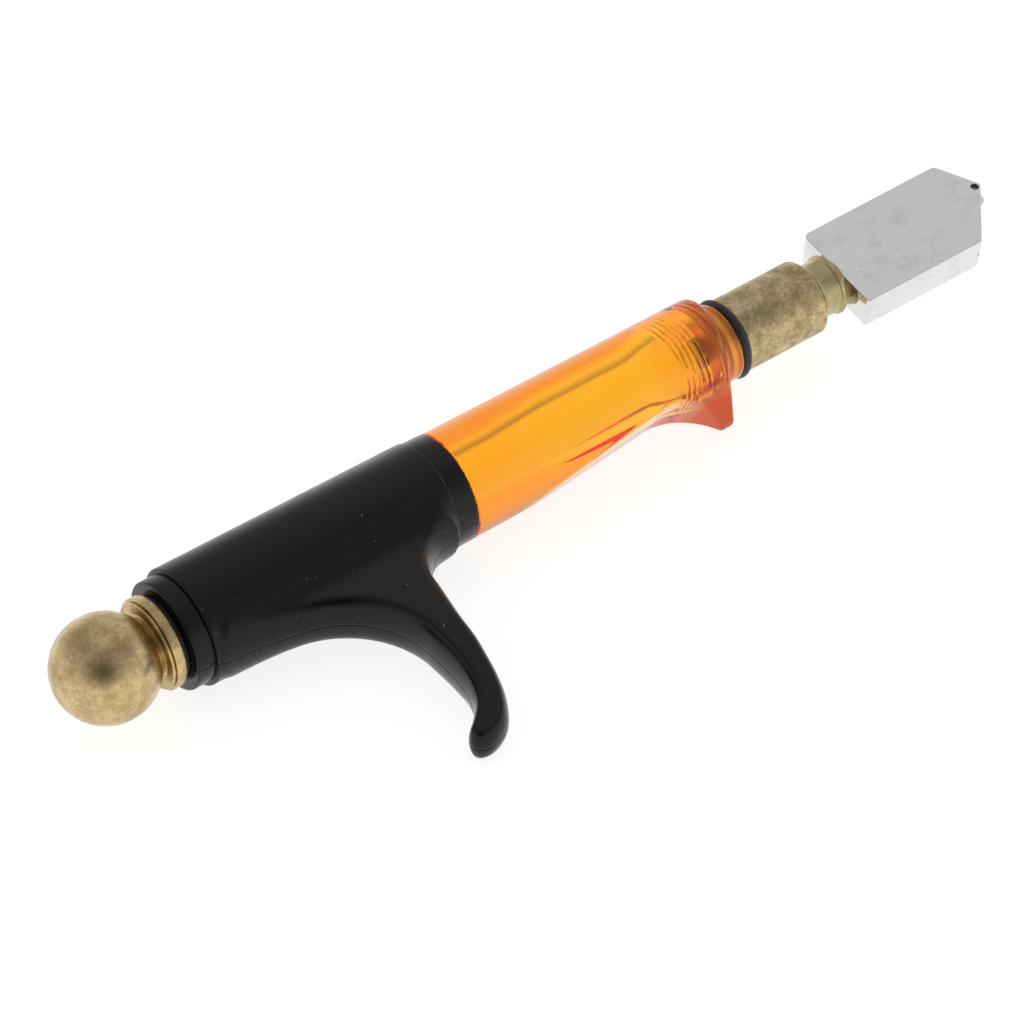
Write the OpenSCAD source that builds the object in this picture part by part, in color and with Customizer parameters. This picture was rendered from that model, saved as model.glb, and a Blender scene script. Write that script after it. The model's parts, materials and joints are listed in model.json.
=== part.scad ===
// Oil-fed glass cutter with a ball-end filler knob, an adjustable saddle with a thumb hook,
// a clear barrel that holds the oil, and a swivelling, spring-loaded cutting head.
// Millimetres. The barrel's axis is X, and the cutting wheel is at the +X end. The hook
// reaches towards -Y and a little down, as the tool lies on a table with +Z up. The origin is
// on the axis, at the rear shoulder of the saddle.

/* [Knob] */
// Radius of the brass ball
ball_r = 8.6; // [7.5:0.1:8.9]
// Radius of the knob's flange
flange_r = 7.6; // [7.2:0.1:8]
// Width of the knob's flange, with its bead
flange_w = 2.2; // [1.8:0.1:2.6]
// Radius of the groove between the ball and the flange
knob_neck_r = 5; // [4.2:0.1:5.6]
// Outer radius of the knob's threaded stud
stud_r = 3.45; // [3:0.05:3.6]
// Length of thread that holds the stud in the barrel
stud_engaged = 6; // [4:1:8]
// Pitch of the stud's thread
stud_pitch = 1; // [0.75:0.25:1.5]

/* [Saddle] */
// Length of the saddle's body, without its end rings
saddle_len = 44.9; // [42:0.1:48]
// Radius of the saddle's body at its rear shoulder
saddle_rear_r = 9.75; // [9.4:0.05:10]
// Radius of the saddle's body at its front
saddle_front_r = 9.25; // [9.1:0.05:9.4]
// Radius of both end rings
end_ring_r = 9; // [8.6:0.1:9]
// Width of the rear end ring
rear_ring_w = 3.1; // [2:0.1:4]
// Width of the front end ring
front_ring_w = 3.8; // [3:0.1:4]
// Half the thickness of the web at the hook's root
hook_half_t = 3.3; // [3:0.1:4]
// Roll of the hook below the horizontal, in degrees, which lets its tip touch the table
hook_drop = 8.4; // [0:0.1:10]

/* [Barrel] */
// Radius of the clear barrel where it leaves the saddle
barrel_rear_r = 8.9; // [8.6:0.05:8.95]
// Radius of the clear barrel behind its rounded nose
barrel_nose_r = 8.55; // [8.2:0.05:8.8]
// Length of the clear barrel, from the saddle to its nose
barrel_len = 51.4; // [48:0.1:53]
// Radius of the barrel's tail inside the saddle
tail_r = 5.8; // [5:0.1:6.2]
// Radius of the oil reservoir
reservoir_r = 4.1; // [3.8:0.1:4.6]
// Roll of the finger rest from the hook's plane, in degrees
rest_roll = 32; // [0:1:45]
// Reach of the finger rest's fin from the axis
fin_reach = 12.5; // [11.5:0.1:13]

/* [Ferrule] */
// Radius of the brass ferrule
ferrule_r = 6.2; // [6:0.1:6.6]
// Length of the brass ferrule, without its threaded stub
ferrule_len = 15.4; // [14:0.1:17]
// Length of the threaded stub inside the barrel's nose
stub_len = 4.5; // [4:0.5:6]
// Radius of the neck bush in front of the ferrule
neck_r = 4.7; // [4.5:0.1:5]
// Length of the neck bush in front of the ferrule
neck_len = 4.7; // [4:0.1:6]
// Radius of the head's shank
shank_r = 3.6; // [3.2:0.1:3.8]

/* [Head] */
// Length of the head, from its back face to its tip
head_len = 30.8; // [28:0.1:32]
// Width of the head across its guide edges
head_w = 16.8; // [16:0.1:18]
// Thickness of the head
head_t = 5.8; // [5.6:0.1:6.4]
// Distance from the back face to the shoulder on the hook's side
near_shoulder = 23.1; // [21:0.1:24]
// Distance from the back face to the shoulder on the far side
far_shoulder = 26.8; // [25:0.1:27.5]
// Offset of the tip from the axis, which makes the wheel trail like a caster
tip_offset = 1.3; // [0.5:0.1:2]
// Swivel of the head from the hook's plane as it lies, in degrees
head_swivel = 8; // [-10:1:10]

/* [Wheel] */
// Radius of the cutting wheel
wheel_r = 2; // [1.8:0.1:2.1]
// Width of the cutting wheel
wheel_w = 1; // [0.8:0.05:1]
// Radius of the wheel's axle pin
axle_r = 0.6; // [0.5:0.05:0.7]
// Distance from the head's tip back to the axle
axle_setback = 1.25; // [1.1:0.05:1.4]

/* [Motion] */
// Travel of the head when it is pressed in to open the oil valve
press_travel = 1; // [0.5:0.1:1]
// Swivel of the head each way from the middle, in degrees
swivel_half = 10; // [5:1:12]

/* [Hidden] */
$fn = 96;

// Clearances
running_gap = 0.05;
face_gap = 0.05;
// Stations along the axis
washer_w = 0.9;
ball_x = -13.7;
flange_front = -rear_ring_w - face_gap - washer_w;
flange_rear = flange_front - flange_w;
bead_w = 0.9;
ring_front = saddle_len + front_ring_w;
barrel_rear = ring_front + face_gap;
nose_x = barrel_rear + barrel_len;
spigot_len = 1.8;
spigot_x = nose_x + spigot_len;
oring_section_r = 0.78;
ferrule_rear = spigot_x + 2 * oring_section_r;
ferrule_front = ferrule_rear + ferrule_len;
neck_front = ferrule_front + neck_len;
head_back = neck_front + press_travel + 0.3;
tip_x = head_back + head_len;
axle_x = tip_x - axle_setback;
// Bores in the barrel
channel_r = stud_r + running_gap;
reservoir_rear = 63.3;
stub_rear = spigot_x - stub_len;
nose_bore_r = 5.25;
nose_bore_len = 12.3;
nose_bore_rear = spigot_x - nose_bore_len;
spigot_r = 6.4;
nose_fillet = 1.6;
// The fin, its raked front face and its scoop
fin_tip_r = 1.3;
fin_tip_at = fin_reach - fin_tip_r;
fin_length = 17.5;
nose_rake = 11;
scoop_r = 9.1;
scoop_x = nose_x - 13.95;
scoop_y = 15.2;
// The hook's stations: [x, y, half width in the hook's plane, half thickness]
hook_stations = [[30, -13, 7.3, 4.2], [29.1, -21, 5.1, 4], [29.4, -27, 3.85, 3.8],
    [29.15, -32, 3.25, 3.6], [28.3, -37, 3, 3.4], [26.2, -41.8, 2.7, 3.1],
    [23.4, -45.2, 2.3, 2.8], [21.2, -46.9, 2, 2.4]];
// Threads
ridge_h = 0.35;
stub_pitch = 1;
// The ferrule's bores and what runs in them
stub_r = nose_bore_r - 0.03;
stem_r = 1.2;
oil_way_r = 1.6;
chamber_r = shank_r + running_gap;
chamber_rear = ferrule_rear + 0.8;
bush_rear = ferrule_front - 3;
bush_r = 4.4;
shank_rear = chamber_rear + 7.6;
stem_screwed = 2.5;
spring_wire_r = 0.35;
spring_mean_r = 2.6;
spring_turns = 5.5;
spring_washer_w = 0.6;
pin_x = shank_rear + 2;
pin_r = 0.7;
pin_tip = 2.6;
port_x = pin_x + 1.15;
wick_r = 0.8;
shank_spigot_r = 2;
shank_spigot_len = 7;
valve_w = 1.6;
seal_w = 0.8;
valve_r = 2.3;
// The head
head_roll = hook_drop + head_swivel;
slot_w = wheel_w + 0.1;
slot_back = near_shoulder - 0.5;
corner_r = 1.2;

// Turns the Z axis of a revolved shape to the barrel's axis.
module on_axis() {
    rotate([0, 90, 0]) rotate_extrude() children();
}

// A ring on the barrel's axis, between two stations.
module ring(x0, x1, r, hole_r = 0) {
    on_axis() translate([hole_r, x0]) square([r - hole_r, x1 - x0]);
}

// A round section revolved about the barrel's axis.
module torus(x, mean_r, section_r) {
    on_axis() translate([mean_r, x]) circle(section_r);
}

// Thread ridges between two stations, each ridge a ring of triangular section.
module ridges(x0, x1, r, pitch) {
    for (x = [x0 : pitch : x1 - pitch])
        on_axis() polygon([[r - ridge_h, x], [r, x + pitch / 2], [r - ridge_h, x + pitch],
            [r - 2 * ridge_h, x + pitch], [r - 2 * ridge_h, x]]);
}

// Knob: ball, narrow neck, beaded flange and threaded stud, turned from one bar.
module ball_knob() {
    stud_front = -rear_ring_w + stud_engaged;
    color("darkkhaki") {
        translate([ball_x, 0, 0]) sphere(ball_r);
        ring(ball_x, flange_rear + 0.5, knob_neck_r);
        torus(flange_rear + bead_w / 2, flange_r - 0.3 - bead_w / 2, bead_w / 2);
        ring(flange_rear, flange_front, flange_r - 0.3 - bead_w / 2);
        ring(flange_rear + bead_w, flange_front, flange_r);
        ring(flange_front - 0.1, stud_front, stud_r - ridge_h);
        ridges(-rear_ring_w + 0.5, stud_front, stud_r, stud_pitch);
    }
}

// Rubber washer that the knob's flange presses on the saddle and the barrel's tail.
module cap_washer() {
    color("black") ring(flange_front, flange_front + washer_w, 6.9, stud_r + 0.05);
}

// Outline of the web where the hook grows out of the saddle's body.
module web_outline() {
    difference() {
        polygon([[2, -6], [44, -6], [44, -9.9], [34.3, -19.8], [33.4, -22.5], [25, -23],
            [10.5, -27], [10.5, -11.6], [2, -9.9]]);
        translate([10.5, -27]) circle(15.4);
        translate([44.2, -19.8]) circle(9.9);
    }
}

// One station of the hook, a sphere pressed a little thinner or thicker than it is wide.
module hook_station(s) {
    translate([s[0], s[1], 0]) scale([1, 1, s[3] / s[2]]) sphere(s[2], $fn = 32);
}

// Black sleeve that turns on the barrel's tail, with the hook that the thumb or
// forefinger rests on.
module saddle() {
    color("dimgray") rotate([hook_drop, 0, 0]) difference() {
        union() {
            ring(-rear_ring_w, 0.1, end_ring_r);
            on_axis() polygon([[0, 0], [saddle_rear_r - 0.3, 0], [saddle_rear_r, 0.3],
                [saddle_front_r, saddle_len - 0.2], [saddle_front_r - 0.2, saddle_len],
                [0, saddle_len]]);
            ring(saddle_len - 0.1, ring_front, end_ring_r);
            linear_extrude(2 * hook_half_t, center = true) web_outline();
            for (i = [0 : len(hook_stations) - 2])
                hull() {
                    hook_station(hook_stations[i]);
                    hook_station(hook_stations[i + 1]);
                }
        }
        ring(-rear_ring_w - 1, ring_front + 1, tail_r + running_gap);
    }
}

// Section of the fin: a wedge whose sides run from inside the barrel to a rounded edge.
module fin_section() {
    base_r = barrel_nose_r - 0.35;
    edge_r = fin_tip_r - 0.06;
    a = acos((base_r - edge_r) / fin_tip_at);
    translate([-fin_tip_at, 0]) circle(fin_tip_r);
    polygon([[0, 0],
        [-base_r * cos(a), base_r * sin(a)],
        [-fin_tip_at - edge_r * cos(a), edge_r * sin(a)],
        [-fin_tip_at - edge_r * cos(a), -edge_r * sin(a)],
        [-base_r * cos(a), -base_r * sin(a)]]);
}

// Side view of the scoop behind the fin: a long shallow flat that ends in a round.
module scoop_outline() {
    translate([scoop_x, -scoop_y]) circle(scoop_r);
    polygon([[scoop_x - 28.2, -9.06], [scoop_x - 1, -scoop_y + scoop_r - 0.15],
        [scoop_x, -scoop_y], [scoop_x, -24], [scoop_x - 28.2, -24]]);
}

// Body of the barrel in front of the saddle, with the fin and the raked, rounded nose.
module barrel_body() {
    difference() {
        union() {
            on_axis() {
                polygon([[0, barrel_rear], [barrel_rear_r - 0.3, barrel_rear],
                    [barrel_rear_r, barrel_rear + 0.3], [barrel_nose_r, nose_x - nose_fillet],
                    [0, nose_x - nose_fillet]]);
                translate([0, barrel_rear])
                    square([barrel_nose_r - nose_fillet, nose_x - barrel_rear]);
                translate([barrel_nose_r - nose_fillet, nose_x - nose_fillet])
                    circle(nose_fillet);
            }
            rotate([hook_drop + rest_roll, 0, 0]) translate([nose_x - fin_length, 0, 0])
                rotate([90, 0, 90]) linear_extrude(fin_length) fin_section();
        }
        rotate([hook_drop + rest_roll, 0, 0]) {
            translate([nose_x, barrel_nose_r - nose_fillet - 0.6, 0]) rotate([0, 0, -nose_rake])
                translate([0, -30, -20]) cube([20, 60, 40]);
            linear_extrude(40, center = true) scoop_outline();
        }
    }
}

// Clear barrel: tail, body, finger rest and nose, bored as a stepped oil reservoir.
module barrel() {
    tail_x = -rear_ring_w;
    color("orange", 0.6) difference() {
        union() {
            ring(tail_x, barrel_rear + 1, tail_r);
            barrel_body();
            ring(nose_x - 5, spigot_x, spigot_r);
        }
        ring(tail_x - 1, reservoir_rear + 1, channel_r);
        ring(reservoir_rear, nose_bore_rear + 1, reservoir_r);
        ring(nose_bore_rear, spigot_x + 1, nose_bore_r);
    }
}

// Rubber ring between the barrel's spigot and the ferrule.
module nose_oring() {
    color("black") torus(spigot_x + oring_section_r, 5.95, oring_section_r);
}

// Direction of the retaining pin: square to the hook's plane, on its lower side.
module at_pin() {
    translate([pin_x, 0, 0]) rotate([180 + hook_drop, 0, 0]) children();
}

// Brass ferrule that screws into the barrel's nose and carries the valve and the head.
module ferrule() {
    front_round = 0.5;
    color("darkkhaki") difference() {
        union() {
            on_axis() {
                translate([0, ferrule_rear]) square([ferrule_r, ferrule_len - front_round]);
                translate([0, ferrule_rear]) square([ferrule_r - front_round, ferrule_len]);
                translate([ferrule_r - front_round, ferrule_front - front_round])
                    circle(front_round);
            }
            ring(spigot_x - 0.1, ferrule_rear + 0.1, 5.1);
            ring(stub_rear, spigot_x, stub_r - ridge_h);
            ridges(stub_rear + 0.2, spigot_x, stub_r, stub_pitch);
        }
        ring(stub_rear - 1, ferrule_rear + 2, oil_way_r);
        ring(chamber_rear, ferrule_front + 1, chamber_r);
        ring(bush_rear, ferrule_front + 1, bush_r);
        at_pin() cylinder(h = 10, r = pin_r);
    }
}

// Polished neck bush pressed into the ferrule, which guides the head's shank.
module neck_bush() {
    waist_r = 1.8;
    color("olive") difference() {
        union() {
            ring(bush_rear, ferrule_front, bush_r);
            difference() {
                ring(ferrule_front, neck_front, neck_r + 0.3);
                torus(ferrule_front + 1.7, neck_r - 0.2 + waist_r, waist_r);
                on_axis() translate([neck_r, ferrule_front + 1.7]) square([2, neck_len - 2.2]);
            }
        }
        ring(bush_rear - 1, neck_front + 1, shank_r + running_gap);
    }
}

// Steel pin that stops the shank in its slot, so the head stays in and swivels a little.
module retaining_pin() {
    color("silver") at_pin() translate([0, 0, pin_tip]) cylinder(h = ferrule_r - pin_tip - 0.1,
        r = pin_r - 0.01);
}

// Points of one ring of the spring's wire, at an angle along the coil.
function coil_x(a, x0, x1, turns) =
    let (u = a / (360 * turns), w = 2 * spring_wire_r)
    u < 1 / turns ? x0 + w * u * turns
    : u > 1 - 1 / turns ? x1 - w * (1 - u) * turns
    : x0 + w + (x1 - x0 - 2 * w) * (u * turns - 1) / (turns - 2);
function wire_ring(a, x, sides) = [for (k = [0 : sides - 1])
    let (b = 360 * k / sides, r = spring_mean_r + spring_wire_r * cos(b))
    [x + spring_wire_r * sin(b), r * cos(a), r * sin(a)]];

// Compression spring that pushes the head out and pulls the valve shut.
module return_spring() {
    sides = 8;
    step = 20;
    x0 = chamber_rear + spring_wire_r + 0.02;
    x1 = shank_rear - spring_washer_w - spring_wire_r - 0.04;
    angles = [for (a = [0 : step : 360 * spring_turns]) a];
    last = len(angles) - 1;
    points = [for (a = angles) each wire_ring(a, coil_x(a, x0, x1, spring_turns), sides)];
    skin = [for (i = [0 : last - 1], k = [0 : sides - 1])
        [i * sides + k, i * sides + (k + 1) % sides,
            (i + 1) * sides + (k + 1) % sides, (i + 1) * sides + k]];
    ends = [[for (k = [sides - 1 : -1 : 0]) k], [for (k = [0 : sides - 1]) last * sides + k]];
    color("lightgray") polyhedron(points, concat(skin, ends));
}

// Steel washer between the spring and the shank, on which the head swivels.
module spring_washer() {
    color("silver") ring(shank_rear - spring_washer_w - 0.02, shank_rear - 0.02, 3.4,
        stem_r + running_gap);
}

// Valve stem: a rod screwed into the shank, with the valve's disc at its rear end.
module valve_stem() {
    disc_front = stub_rear - 0.02 - seal_w;
    color("lightgray") {
        ring(disc_front - valve_w, disc_front, valve_r);
        ring(disc_front - 0.1, shank_rear + stem_screwed, stem_r);
    }
}

// Pale plastic seal on the valve's disc, which closes on the rear end of the ferrule's stub.
module valve_seal() {
    color("ivory") ring(stub_rear - 0.02 - seal_w, stub_rear - 0.02, valve_r, stem_r);
}

// Brass shank between the valve stem and the head, drilled along for the wick.
module head_shank() {
    slot_half = pin_r + 0.05 + pin_tip * sin(swivel_half) + 0.35;
    // The pin's flat tip reaches deepest at its edge, with the head at an end of its swivel.
    slot_floor = pin_tip * cos(swivel_half) - pin_r * sin(swivel_half) - 0.2;
    groove_x = ferrule_front + 2.4;
    color("darkkhaki") difference() {
        union() {
            ring(shank_rear, head_back, shank_r);
            ring(head_back - 0.1, head_back + shank_spigot_len, shank_spigot_r);
        }
        ring(shank_rear - 1, shank_rear + stem_screwed, stem_r);
        ring(shank_rear + stem_screwed - 0.1, head_back + 20, wick_r);
        ring(groove_x, groove_x + 1.1, shank_r + 1, shank_r - 0.8);
        rotate([180 + head_roll, 0, 0]) translate([port_x, 0, 0]) cylinder(h = 5, r = 0.45);
        rotate([head_roll, 0, 0]) translate([pin_x - pin_r - 0.05, -slot_half, -shank_r - 1])
            cube([2 * pin_r + 0.1 + press_travel, 2 * slot_half, 1 + shank_r - slot_floor]);
    }
}

// Small rubber ring in the shank's groove, which keeps the oil from weeping out.
module shank_oring() {
    color("black") torus(ferrule_front + 2.95, shank_r - 0.42, 0.38);
}

// Cotton wick that leads the oil from the valve to the wheel.
module feed_wick() {
    color("ivory") ring(port_x + 0.6, head_back + slot_back + 2, wick_r - 0.1);
}

// Outline of the head: rounded back corners and an uneven wedge that ends at the tip.
module head_outline() {
    half = head_w / 2;
    difference() {
        polygon([[head_back, -half], [head_back + near_shoulder, -half],
            [tip_x, tip_offset], [head_back + far_shoulder, half], [head_back, half]]);
        for (side = [-1, 1]) translate([head_back, side * half]) difference() {
            square(2 * corner_r, center = true);
            translate([corner_r, -side * corner_r]) circle(corner_r);
        }
    }
}

// Places the axle's parts, which lie across the head.
module at_axle() {
    rotate([head_roll, 0, 0]) translate([axle_x, tip_offset, 0]) children();
}

// Chromed steel head with the wheel's slot, the axle's hole and the hole for the shank.
module head_block() {
    color("gainsboro") difference() {
        rotate([head_roll, 0, 0]) difference() {
            linear_extrude(head_t, center = true) head_outline();
            translate([head_back + slot_back, -head_w, -slot_w / 2])
                cube([head_len, 2 * head_w, slot_w]);
        }
        at_axle() cylinder(h = head_t + 2, r = axle_r, center = true);
        ring(head_back - 1, head_back + shank_spigot_len + 0.3, shank_spigot_r);
        ring(head_back, head_back + slot_back + 2.2, wick_r);
    }
}

// Steel axle pin, pressed into the head, on which the wheel turns.
module axle_pin() {
    color("dimgray") at_axle() cylinder(h = head_t - 0.1, r = axle_r, center = true);
}

// Carbide wheel with a sharp rim.
module cutting_wheel() {
    rim = 0.45;
    color("slategray") at_axle() rotate_extrude() polygon([
        [axle_r + running_gap, -wheel_w / 2], [wheel_r - rim, -wheel_w / 2], [wheel_r, 0],
        [wheel_r - rim, wheel_w / 2], [axle_r + running_gap, wheel_w / 2]]);
}

ball_knob();
cap_washer();
saddle();
barrel();
nose_oring();
ferrule();
neck_bush();
retaining_pin();
return_spring();
spring_washer();
valve_stem();
valve_seal();
head_shank();
shank_oring();
feed_wick();
head_block();
axle_pin();
cutting_wheel();
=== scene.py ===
"""Looks of an oil-fed glass cutter: a tarnished brass knob, a black saddle with a finger hook, a
clear amber barrel, a mottled brass ferrule and a chromed cutting head.

Turned pieces are outlines revolved about the barrel's axis, +X. The saddle's hook and the barrel's
outside are skins of distance fields. Lengths in outlines and fields are millimetres."""

import json
import math

import bmesh
import bpy
import numpy as np
import openvdb
from mathutils import Matrix, Vector


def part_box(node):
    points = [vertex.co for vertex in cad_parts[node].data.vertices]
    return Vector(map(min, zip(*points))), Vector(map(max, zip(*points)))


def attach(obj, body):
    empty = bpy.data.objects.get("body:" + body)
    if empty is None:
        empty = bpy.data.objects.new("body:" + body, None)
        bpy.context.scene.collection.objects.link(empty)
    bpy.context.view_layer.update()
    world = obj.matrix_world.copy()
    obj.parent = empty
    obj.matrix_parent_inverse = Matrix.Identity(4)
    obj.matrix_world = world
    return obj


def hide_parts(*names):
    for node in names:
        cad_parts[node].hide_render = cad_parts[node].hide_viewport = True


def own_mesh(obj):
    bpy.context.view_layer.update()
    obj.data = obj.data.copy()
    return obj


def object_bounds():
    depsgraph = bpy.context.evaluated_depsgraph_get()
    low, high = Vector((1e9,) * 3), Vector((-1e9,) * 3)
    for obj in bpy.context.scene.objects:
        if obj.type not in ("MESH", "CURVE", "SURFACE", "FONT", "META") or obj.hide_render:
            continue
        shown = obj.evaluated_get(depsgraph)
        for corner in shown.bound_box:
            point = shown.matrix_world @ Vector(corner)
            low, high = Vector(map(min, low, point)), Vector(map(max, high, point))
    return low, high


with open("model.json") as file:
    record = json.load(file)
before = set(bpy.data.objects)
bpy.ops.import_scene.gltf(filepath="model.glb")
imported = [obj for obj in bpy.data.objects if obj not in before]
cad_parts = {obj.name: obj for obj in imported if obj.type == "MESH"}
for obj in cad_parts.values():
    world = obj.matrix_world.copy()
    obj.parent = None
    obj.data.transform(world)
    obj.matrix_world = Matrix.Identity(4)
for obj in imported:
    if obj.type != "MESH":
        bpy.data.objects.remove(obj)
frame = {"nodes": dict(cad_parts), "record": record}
cad_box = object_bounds()

MM = 0.001
SKIN_STEP = 0.34  # cell of a distance field's grid, in millimetres


# ---------------------------------------------------------------- places, from the frame
def ends(node):
    """Rear and front station of a CAD node on the barrel's axis, in millimetres."""
    low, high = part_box(node)
    return low.x / MM, high.x / MM


def joint(name):
    return next(j for j in frame["record"]["behaviour"]["joints"] if j["name"] == name)


BALL_R = 8.6
KNOB_REAR, STUD_FRONT = ends("ball_knob")
BALL_X = KNOB_REAR + BALL_R
WASHER_REAR, WASHER_FRONT = ends("cap_washer")
SADDLE_REAR, SADDLE_FRONT = ends("saddle")
FRONT_RING_LENGTH, SPIGOT_LENGTH, BARREL_GAP = 3.8, 1.8, 0.05
SADDLE_BODY_FRONT = SADDLE_FRONT - FRONT_RING_LENGTH
BARREL_TAIL, SPIGOT_FRONT = ends("barrel")
FERRULE_STUB, FERRULE_FRONT = ends("ferrule")
FERRULE_REAR = ends("nose_oring")[1]
BUSH_REAR, BUSH_FRONT = ends("neck_bush")
HEAD_BACK, HEAD_TIP = ends("head_block")
BARREL_REAR = SADDLE_FRONT + BARREL_GAP
NOSE_X = SPIGOT_FRONT - SPIGOT_LENGTH

# Angles below the horizontal: the hook's, and the finger rest's, which lies further round.
HOOK_DROP = math.radians(8.4)
REST_ROLL = math.radians(32) + HOOK_DROP
HOOK_UP = Vector((0, -math.sin(HOOK_DROP), math.cos(HOOK_DROP)))
WHEEL = joint("wheel_spin")
HEAD_UP = Vector(WHEEL["axis"]).normalized()
HEAD_SIDE = HEAD_UP.cross(Vector((1, 0, 0)))
HEAD_FRAME = Matrix((Vector((1, 0, 0)), HEAD_SIDE, HEAD_UP)).transposed().to_4x4()


# ---------------------------------------------------------------- mesh helpers
def add_object(name, mesh):
    obj = bpy.data.objects.new(name, mesh)
    bpy.context.collection.objects.link(obj)
    return obj


def make_mesh(name, points, faces):
    """An object from points in millimetres, with its normals turned outwards."""
    mesh = bpy.data.meshes.new(name)
    mesh.from_pydata([[c * MM for c in p] for p in points], [], faces)
    shape = bmesh.new()
    shape.from_mesh(mesh)
    bmesh.ops.recalc_face_normals(shape, faces=shape.faces)
    shape.to_mesh(mesh)
    shape.free()
    return add_object(name, mesh)


def arc(x, r, radius, start, end, steps=10):
    """Outline points on a round of given centre and radius, between two angles in degrees."""
    turns = np.radians(np.linspace(start, end, steps + 1))
    return [(x + radius * math.cos(t), r + radius * math.sin(t)) for t in turns]


LONGEST_RUN = 0.49  # a rounding takes up less than half of the shorter side


def softened(corners, steps=4):
    """Outline with its corners rounded: a corner is (x, r) or (x, r, rounding radius).

    The outline counts as closed, so an open one's end corners are given no radius."""
    points = []
    count = len(corners)
    for i, corner in enumerate(corners):
        here = np.array(corner[:2], float)
        if len(corner) < 3:
            points.append(tuple(here))
            continue
        back = np.array(corners[i - 1][:2], float) - here
        ahead = np.array(corners[(i + 1) % count][:2], float) - here
        u, v = back / np.linalg.norm(back), ahead / np.linalg.norm(ahead)
        half = math.acos(np.clip(u @ v, -1, 1)) / 2
        room = min(np.linalg.norm(back), np.linalg.norm(ahead)) * LONGEST_RUN
        run = min(corner[2] / math.tan(half), room)
        radius = run * math.tan(half)
        middle = here + (u + v) / np.linalg.norm(u + v) * radius / math.sin(half)
        a, b = here + u * run - middle, here + v * run - middle
        sweep = math.pi - 2 * half
        for k in range(steps + 1):
            t = k / steps * sweep
            mix = (a * math.sin(sweep - t) + b * math.sin(t)) / math.sin(sweep)
            points.append(tuple(middle + mix))
    return points


def lathe(name, outline, segments=128):
    """Closed solid: a closed outline of (x, r) points revolved about the barrel's axis."""
    turns = [2 * math.pi * k / segments for k in range(segments)]
    points, rings = [], []
    for x, r in outline:
        first = len(points)
        if r < 1e-6:
            points.append((x, 0, 0))
            rings.append([first] * segments)
        else:
            points += [(x, r * math.cos(t), r * math.sin(t)) for t in turns]
            rings.append(list(range(first, first + segments)))
    faces = []
    for ring, following in zip(rings, rings[1:] + rings[:1]):
        for k in range(segments):
            n = (k + 1) % segments
            corners = [ring[k], ring[n], following[n], following[k]]
            face = [c for j, c in enumerate(corners) if c not in corners[:j]]
            if len(face) > 2:
                faces.append(face)
    return make_mesh(name, points, faces)


def bake(obj):
    """Applies the object's modifiers to its mesh."""
    graph = bpy.context.evaluated_depsgraph_get()
    mesh = bpy.data.meshes.new_from_object(obj.evaluated_get(graph))
    obj.modifiers.clear()
    obj.data = mesh
    return obj


def combine(obj, other, operation):
    """Boolean of two closed solids. The second one is used up."""
    modifier = obj.modifiers.new("combine", "BOOLEAN")
    modifier.object, modifier.operation, modifier.solver = other, operation, "MANIFOLD"
    bake(obj)
    bpy.data.objects.remove(other)
    return obj


def smooth(obj, angle=30):
    """Smooth shading, sharp only at edges that turn more than the angle."""
    obj.data.shade_smooth()
    obj.data.set_sharp_from_angle(angle=math.radians(angle))
    return obj


def skin(name, field, low, high):
    """Closed solid where field(x, y, z) is negative, with its points drawn onto the surface."""
    outside, passes, probe, weakest_slope, longest_move = 9.0, 3, 0.02, 0.2, 0.3
    axes = [np.arange(a, b + SKIN_STEP, SKIN_STEP) for a, b in zip(low, high)]
    values = field(*np.meshgrid(*axes, indexing="ij"))
    grid = openvdb.FloatGrid(outside)
    grid.copyFromArray(values.astype(np.float32))
    points, quads = grid.convertToQuads(0.0)
    points = points.astype(float) * SKIN_STEP + np.array(low)
    for _ in range(passes):
        value = field(*points.T)
        slope = np.stack([
            field(*(points + shift).T) - field(*(points - shift).T)
            for shift in np.eye(3) * probe
        ], 1) / (2 * probe)
        move = value[:, None] * slope / np.maximum((slope**2).sum(1), weakest_slope)[:, None]
        points -= np.clip(move, -longest_move, longest_move)
    return make_mesh(name, points.tolist(), quads.tolist())


def place(obj, body, slot, material, *nodes):
    """Gives a piece its material, its CAD body and the CAD nodes that it stands for."""
    obj.data.materials.clear()
    obj.data.materials.append(material)
    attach(obj, body)
    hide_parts(*nodes)
    return obj


# ---------------------------------------------------------------- material helpers
def colour_ramp(nodes, links, source, stops):
    """Colour ramp on a socket: each stop is (position, colour or grey)."""
    ramp = nodes.new("ShaderNodeValToRGB")
    elements = ramp.color_ramp.elements
    while len(elements) < len(stops):
        elements.new(0.5)
    for element, (position, colour) in zip(elements, stops):
        grey = isinstance(colour, (int, float))
        element.position = position
        element.color = (colour,) * 3 + (1,) if grey else (*colour, 1)
    links.new(source, ramp.inputs["Fac"])
    return ramp.outputs["Color"]


NOISE_LOW, NOISE_HIGH = 0.3, 0.7  # most of a noise texture's values lie between these


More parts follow.
